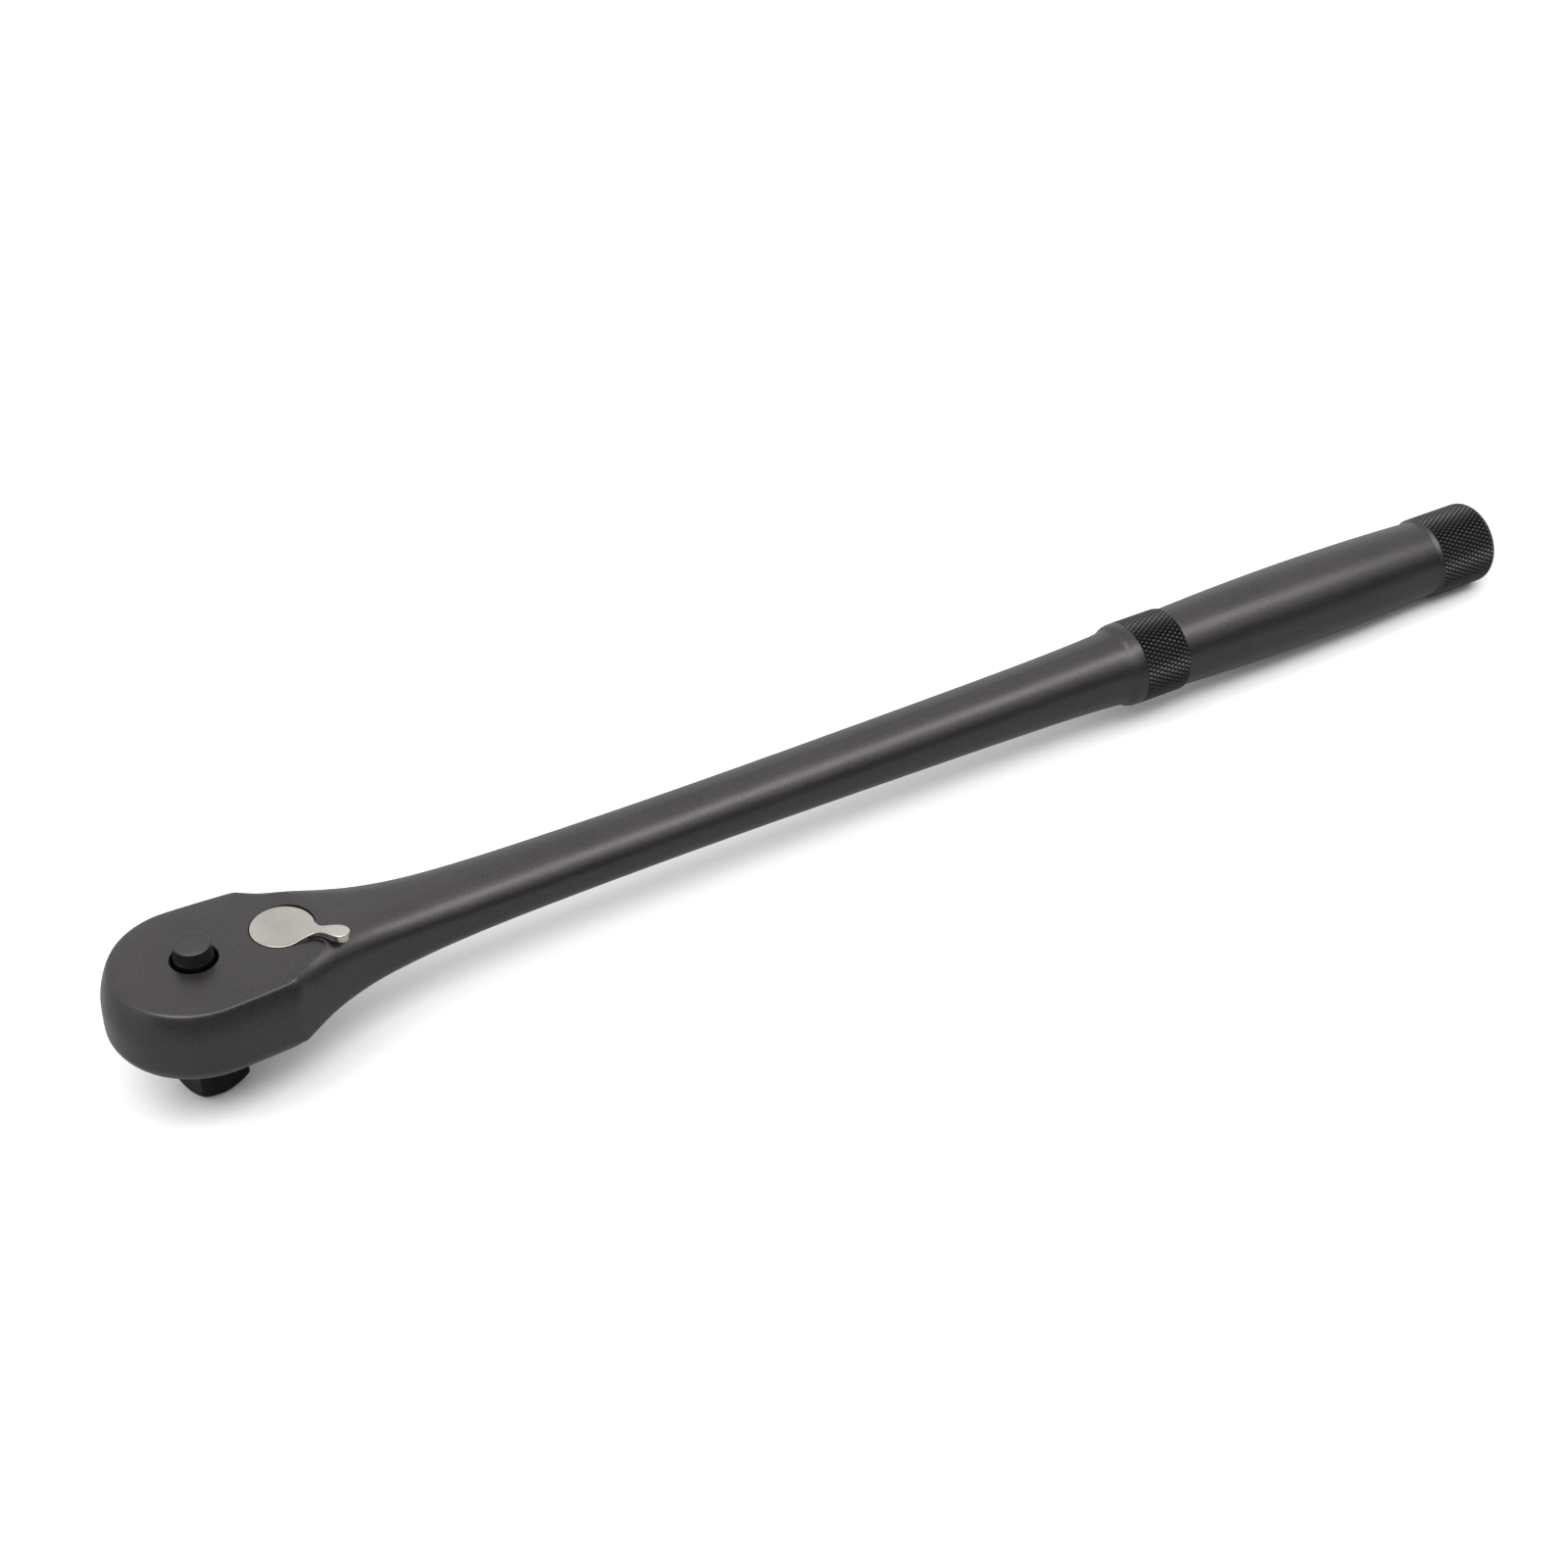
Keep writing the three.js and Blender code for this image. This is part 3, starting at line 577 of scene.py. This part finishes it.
oxide = Finish(bpy.data.materials.new("black_oxide"), "Principled BSDF")
grain = oxide.noise(2600, 3, 0.6)
patches = oxide.noise(55, 3, 0.55)
streaks = oxide.noise(420, 2, 0.5, stretch=(0.12, 1, 1))
oxide_split = oxide.node("SeparateXYZ", Vector=oxide.places).socket.node
along, sideways, upright = (Value(output) for output in oxide_split.outputs)
upright = upright - grip_axis
squared = sideways * sideways + upright * upright
from_axis = squared.work("POWER", squared, 0.5)
on_ring = oxide.ramp(along, ring_knurl - 0.05 * mm, ring_knurl + 0.05 * mm) * oxide.ramp(
    along, ring_end - 0.05 * mm, ring_end + 0.05 * mm, 1.0, 0.0
)
on_cap = oxide.ramp(along, cap_start + 0.95 * mm, cap_start + 1.05 * mm)
on_knurl = on_ring + on_cap
# Painted shade: the knurl's grooves are darkened towards their floor, nearly black at the bottom.
groove_shade = on_knurl * oxide.ramp(from_axis, knurl_radius - knurl_depth, knurl_radius - 0.05 * mm, 1.0, 0.0)
steel_tone = oxide.blend(patches, (0.046, 0.044, 0.048, 1), (0.067, 0.062, 0.061, 1))
steel_tone = oxide.blend(oxide.ramp(grain, 0.35, 0.7) * 0.45, steel_tone, (0.100, 0.093, 0.090, 1))
# The painted shade in the knurl's grooves goes into the base colour.
steel_tone = oxide.blend(groove_shade, steel_tone, (0.012, 0.012, 0.012, 1))
oxide.set(
    Base_Color=steel_tone, Metallic=0.9,
    Roughness=0.24 + 0.08 * streaks + 0.07 * patches + 0.08 * grain,
    Normal=oxide.node("Bump", Height=grain, Distance=0.012 * mm, Strength=0.6),
)
forging.data.materials.clear()
forging.data.materials.append(oxide.owner)
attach(forging, "handle")
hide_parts("handle_forging")


# ---------------------------------------------------------------------------------------------
# Reversing lever. One steel part, nickel plated and blasted satin: a disc sunk in the head that
# dishes up into a spoon-shaped tail for the thumb. Its stem turns the pawl and holds the detent.

tail_angle = radians(-48)
disc_radius = 7.2 * mm
disc_foot = head_top - 1.1 * mm
disc_top = head_top + 0.2 * mm
tail_foot = head_top + 0.45 * mm
tail_rise = 2.2
wheel_level = 24.7 * mm
tail_outline = [
    (7.4, 2.35), (8.3, 1.55), (9.5, 1.2), (11, 1.4), (12.6, 1.9), (14, 2.15), (15.2, 1.9),
    (15.9, 1.35), (16.3, 0.6),
]

lever = new_part("lever")
bpy.ops.mesh.primitive_circle_add(
    vertices=64, radius=disc_radius, fill_type="NGON", location=(0, 0, disc_foot)
)
choose(lever, lambda p: p.x > 6.35 * mm, "edges")
reach, half_width = 6.4, disc_radius * sin(radians(28.125)) / mm
for next_reach, next_half in tail_outline:
    bpy.ops.mesh.extrude_edges_move(TRANSFORM_OT_translate={"value": ((next_reach - reach) * mm, 0, 0)})
    bpy.ops.transform.resize(
        value=(0, next_half / half_width, 1), center_override=(next_reach * mm, 0, disc_foot)
    )
    reach, half_width = next_reach, next_half
bpy.ops.mesh.select_all(action="SELECT")
bpy.ops.mesh.extrude_region_move(TRANSFORM_OT_translate={"value": (0, 0, disc_top - disc_foot)})
for place in (1.5, 3, 4.5, 5.5, 6.4, 7):
    bpy.ops.mesh.select_all(action="SELECT")
    bpy.ops.mesh.bisect(plane_co=(place * mm, 0, 0), plane_no=(1, 0, 0), threshold=0.0001 * mm)
columns = sorted({round(vert.co.x / mm, 2) for vert in bmesh.from_edit_mesh(lever.data).verts})
for column in columns:
    if column > 3.6:
        choose(lever, lambda p: abs(p.x / mm - column) < 0.006 and p.z > disc_top - 0.1 * mm)
        bpy.ops.transform.translate(value=(0, 0, tail_rise * mm * smoothstep(column, 3.6, 12.4)))
choose(lever, lambda p: p.x > 7.3 * mm and p.z < disc_foot + 0.1 * mm)
bpy.ops.transform.translate(value=(0, 0, tail_foot - disc_foot))
bpy.ops.mesh.select_mode(type="FACE")
bpy.ops.mesh.select_all(action="DESELECT")
lever_shape = bmesh.from_edit_mesh(lever.data)
for face in lever_shape.faces:
    face.select_set(abs(face.normal.z) > 0.5 and face.calc_center_median().z > disc_top - 0.05 * mm)
bmesh.update_edit_mesh(lever.data)
bpy.ops.mesh.region_to_loop()
bpy.ops.mesh.bevel(offset=0.3 * mm, segments=3)
close(lever)
apply_modifier(lever, "SUBSURF", levels=2, render_levels=2)
join_solid(lever, turned("lever_stem", [
    (3.1 * mm, 20 * mm), (3.2 * mm, 20.1 * mm), (3.2 * mm, 20.15 * mm), (2.8 * mm, 20.15 * mm),
    (2.8 * mm, 20.65 * mm), (3.5 * mm, 20.65 * mm), (3.5 * mm, 33 * mm), (7.1 * mm, 33 * mm),
    (7.1 * mm, 34.4 * mm),
], 64))
cut(lever, turned(
    "detent_bore", [(1.3 * mm, -1.6 * mm), (1.3 * mm, 6.4 * mm)], 32, "X", (0, 0, wheel_level)
))


def settle(part, turn=0.0, place=(0, 0, 0)):
    """Turns a part about the vertical, moves it to its place, and keeps that in its mesh."""
    bpy.ops.object.select_all(action="DESELECT")
    part.select_set(True)
    bpy.context.view_layer.objects.active = part
    part.rotation_euler = (0, 0, turn)
    part.location = place
    bpy.ops.object.transform_apply(location=True, rotation=True, scale=True)


settle(lever, tail_angle, lever_axis)
smooth(lever, 40)


def metal(name, dull, bright, roughness, bump=0.006, grain_scale=2600):
    """A metal with fine grain, faint patches of tone, and a little scatter in its polish."""
    finish = Finish(bpy.data.materials.new(name), "Principled BSDF")
    specks = finish.noise(grain_scale, 3, 0.6)
    clouds = finish.noise(90, 3, 0.55)
    tone = finish.blend(finish.ramp(clouds, 0.3, 0.7), (*dull, 1), (*bright, 1))
    finish.set(
        Base_Color=tone, Metallic=1.0, Roughness=roughness - 0.08 + 0.1 * specks + 0.06 * clouds,
        Normal=finish.node("Bump", Height=specks, Distance=bump * mm, Strength=0.6),
    )
    return finish


def dress(part, finish):
    part.data.materials.clear()
    part.data.materials.append(finish.owner)


dress(lever, metal("satin_nickel", (0.39, 0.378, 0.343), (0.50, 0.483, 0.44), 0.28, 0.005))
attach(lever, "lever")
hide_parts("reverse_lever")


# ---------------------------------------------------------------------------------------------
# Release button. A pin turned from bar and blackened: a slightly dished push face with a rounded edge, a
# skirt in the head's hole, and a slim waist further down that lets the socket ball sink in.

button_profile = [
    (3.0, 6.5), (3.4, 6.9), (3.4, 8.3), (2.4, 11.8), (2.4, 31), (4.4, 31), (4.5, 31.1), (4.5, 35.7),
    (4.45, 35.85), (4.2, 36.5), (4.2, 38.8), (4.17, 38.95), (4.08, 39.1), (3.95, 39.18), (3.8, 39.2),
    (3.6, 39.17), (3.3, 39.1), (1.5, 39.07),
]
button = turned("button", [(radius * mm, height * mm) for radius, height in button_profile], 96)
smooth(button, 35)
blackened = metal("blackened_steel", (0.055, 0.053, 0.055), (0.078, 0.073, 0.072), 0.34, 0.006)
dress(button, blackened)
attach(button, "button")
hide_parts("release_button")


# ---------------------------------------------------------------------------------------------
# Drive gear. The half-inch square, its two journals and the 36-tooth ratchet wheel are machined from
# one bar and blackened. The square's end is coned so that a socket slides on.

square_turn = radians(14)
square_half = 6.35 * mm
drive = new_part("drive_gear_steel")
bpy.ops.mesh.primitive_cube_add(size=1, location=(0, 0, 8.5 * mm))
bpy.ops.transform.resize(value=(2 * square_half, 2 * square_half, 19 * mm), center_override=(0, 0, 8.5 * mm))
choose(drive, lambda p: abs(p.z - 8.5 * mm) < 1 * mm, "edges")
bpy.ops.mesh.bevel(offset=1.1 * mm, segments=6)
close(drive)
join_solid(drive, turned("lead_in", [
    (5.1 * mm, 0), (5.35 * mm, 0.04 * mm), (5.5 * mm, 0.14 * mm), (5.62 * mm, 0.28 * mm),
    (8.98 * mm, 2.5 * mm), (8.98 * mm, 19 * mm),
], 120), "INTERSECT")
settle(drive, square_turn)
join_solid(drive, turned("journals", [
    (8.45 * mm, 17.3 * mm), (8.6 * mm, 17.45 * mm), (8.6 * mm, 20.3 * mm), (11.45 * mm, 20.3 * mm),
    (11.45 * mm, 29.1 * mm), (7.6 * mm, 29.1 * mm), (7.6 * mm, 31.1 * mm), (7.4 * mm, 31.3 * mm),
], 96))

teeth = 36
tooth = new_part("tooth")
bpy.ops.mesh.primitive_cube_add(size=1, location=(11.85 * mm, 0, wheel_level))
bpy.ops.transform.resize(
    value=(1.3 * mm, 1.86 * mm, 8.78 * mm), center_override=(11.85 * mm, 0, wheel_level)
)
choose(tooth, lambda p: p.x > 12 * mm)
bpy.ops.transform.resize(value=(1, 0.21, 1), center_override=(12.5 * mm, 0, wheel_level))
close(tooth)
settle(tooth, pi / teeth)
next_tooth = bpy.data.objects.new("next_tooth", None)
bpy.context.scene.collection.objects.link(next_tooth)
next_tooth.rotation_euler.z = 2 * pi / teeth
bpy.context.view_layer.update()
apply_modifier(
    tooth, "ARRAY", count=teeth, use_relative_offset=False, use_object_offset=True, offset_object=next_tooth
)
bpy.data.objects.remove(next_tooth)
join_solid(drive, tooth)
cut(drive, turned("pin_bore", [
    (3.5 * mm, 2.3 * mm), (3.5 * mm, 21.5 * mm), (4.7 * mm, 21.5 * mm), (4.7 * mm, 32 * mm),
], 64))
ball_bore = turned("ball_bore", [
    (1.83 * mm, 0), (1.83 * mm, 5.95 * mm), (1.65 * mm, 5.95 * mm), (1.65 * mm, 8 * mm),
], 48, "X", (0, 0, 8 * mm))
settle(ball_bore, square_turn)
cut(drive, ball_bore)
smooth(drive, 30)
dress(drive, metal("drive_steel", (0.018, 0.018, 0.019), (0.030, 0.029, 0.029), 0.36, 0.006))
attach(drive, "drive")
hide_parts("drive_gear")


# ---------------------------------------------------------------------------------------------
# Socket ball. A hard bearing ball, held in the square by its peened bore and pushed out by the pin.

ball_low, ball_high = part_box("socket_ball")
ball_middle = (ball_low + ball_high) / 2
ball_radius = 1.75 * mm
ball = new_part("ball")
bpy.ops.mesh.primitive_cube_add(size=2 * ball_radius, location=ball_middle)
bpy.ops.mesh.subdivide(number_cuts=11)
shape = bmesh.from_edit_mesh(ball.data)
for vert in shape.verts:
    vert.co = ball_middle + (vert.co - ball_middle).normalized() * ball_radius
bmesh.update_edit_mesh(ball.data)
close(ball)
smooth(ball, 60)
bright_steel = metal("bright_steel", (0.42, 0.42, 0.43), (0.55, 0.55, 0.56), 0.26, 0.003)
dress(ball, bright_steel)
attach(ball, "ball")
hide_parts("socket_ball")


# ---------------------------------------------------------------------------------------------
# Cover plate. Pressed from steel, blackened, and held into the underside of the head by three
# screws. It carries the drive gear's lower journal in a reamed hole.

cover = cover_blank("cover", 0, head_bottom, head_bottom + 2 * mm)
edit(cover)
choose(cover, lambda p: p.z < head_bottom + 0.1 * mm, "faces")
bpy.ops.mesh.region_to_loop()
bpy.ops.mesh.bevel(offset=0.35 * mm, segments=3)
close(cover)
cut(cover, turned("hub_hole", [
    (9.0 * mm, 17 * mm), (9.0 * mm, 17.45 * mm), (8.75 * mm, 17.7 * mm), (8.75 * mm, 18.5 * mm),
    (10 * mm, 18.5 * mm), (10 * mm, 20 * mm),
], 96))
for screw_node in screw_nodes:
    cut(cover, screw_blank("countersink", 0.1 * mm, screw_node))
smooth(cover, 35)
dress(cover, oxide)
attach(cover, "handle")
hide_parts("cover_plate")


# ---------------------------------------------------------------------------------------------
# Cover screws. Three countersunk socket screws, blackened; their heads lie flush with the cover.

screw_finish = metal("screw_steel", (0.040, 0.039, 0.040), (0.060, 0.057, 0.055), 0.38, 0.005)
for screw_node in screw_nodes:
    low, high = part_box(screw_node)
    middle = (low + high) / 2
    screw = screw_blank(screw_node + "_steel", 0, screw_node)
    edit(screw)
    choose(screw, lambda p: p.z < low.z + 0.01 * mm, "faces")
    bpy.ops.mesh.region_to_loop()
    bpy.ops.mesh.bevel(offset=0.15 * mm, segments=3)
    close(screw)
    key = new_part("key")
    bpy.ops.mesh.primitive_circle_add(
        vertices=6, radius=1.15 * mm, fill_type="NGON", location=(middle.x, middle.y, 17 * mm)
    )
    bpy.ops.mesh.extrude_region_move(TRANSFORM_OT_translate={"value": (0, 0, 1.6 * mm)})
    bpy.ops.mesh.extrude_region_move(TRANSFORM_OT_translate={"value": (0, 0, 0.35 * mm)})
    bpy.ops.transform.resize(value=(0.3, 0.3, 1), center_override=(middle.x, middle.y, 18.95 * mm))
    cut(screw, close(key))
    smooth(screw, 35)
    dress(screw, screw_finish)
    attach(screw, "handle")
    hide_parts(screw_node)


# ---------------------------------------------------------------------------------------------
# Inner steel parts, as machined: the hardened pawl, the springs, the washer, the clip and the
# detent ball. They keep their CAD shapes.

nodes = frame["nodes"]
dress(nodes["pawl"], metal("hardened_steel", (0.20, 0.19, 0.18), (0.30, 0.28, 0.26), 0.36, 0.006))
for name in ("thrust_washer", "release_spring", "lever_clip", "detent_spring", "detent_ball"):
    dress(nodes[name], bright_steel)


# ---------------------------------------------------------------------------------------------
# Seals. Two moulded rubber rings keep grit out, and a punched fibre gasket lies under the cover.

rubber = metal("black_rubber", (0.020, 0.020, 0.020), (0.034, 0.033, 0.032), 0.62, 0.01, 3400)
rubber.set(Metallic=0.0)
for name in ("hub_seal", "lever_seal"):
    dress(nodes[name], rubber)
fibre = metal("gasket_fibre", (0.16, 0.13, 0.10), (0.24, 0.20, 0.16), 0.86, 0.02, 1800)
fibre.set(Metallic=0.0)
dress(nodes["cover_gasket"], fibre)
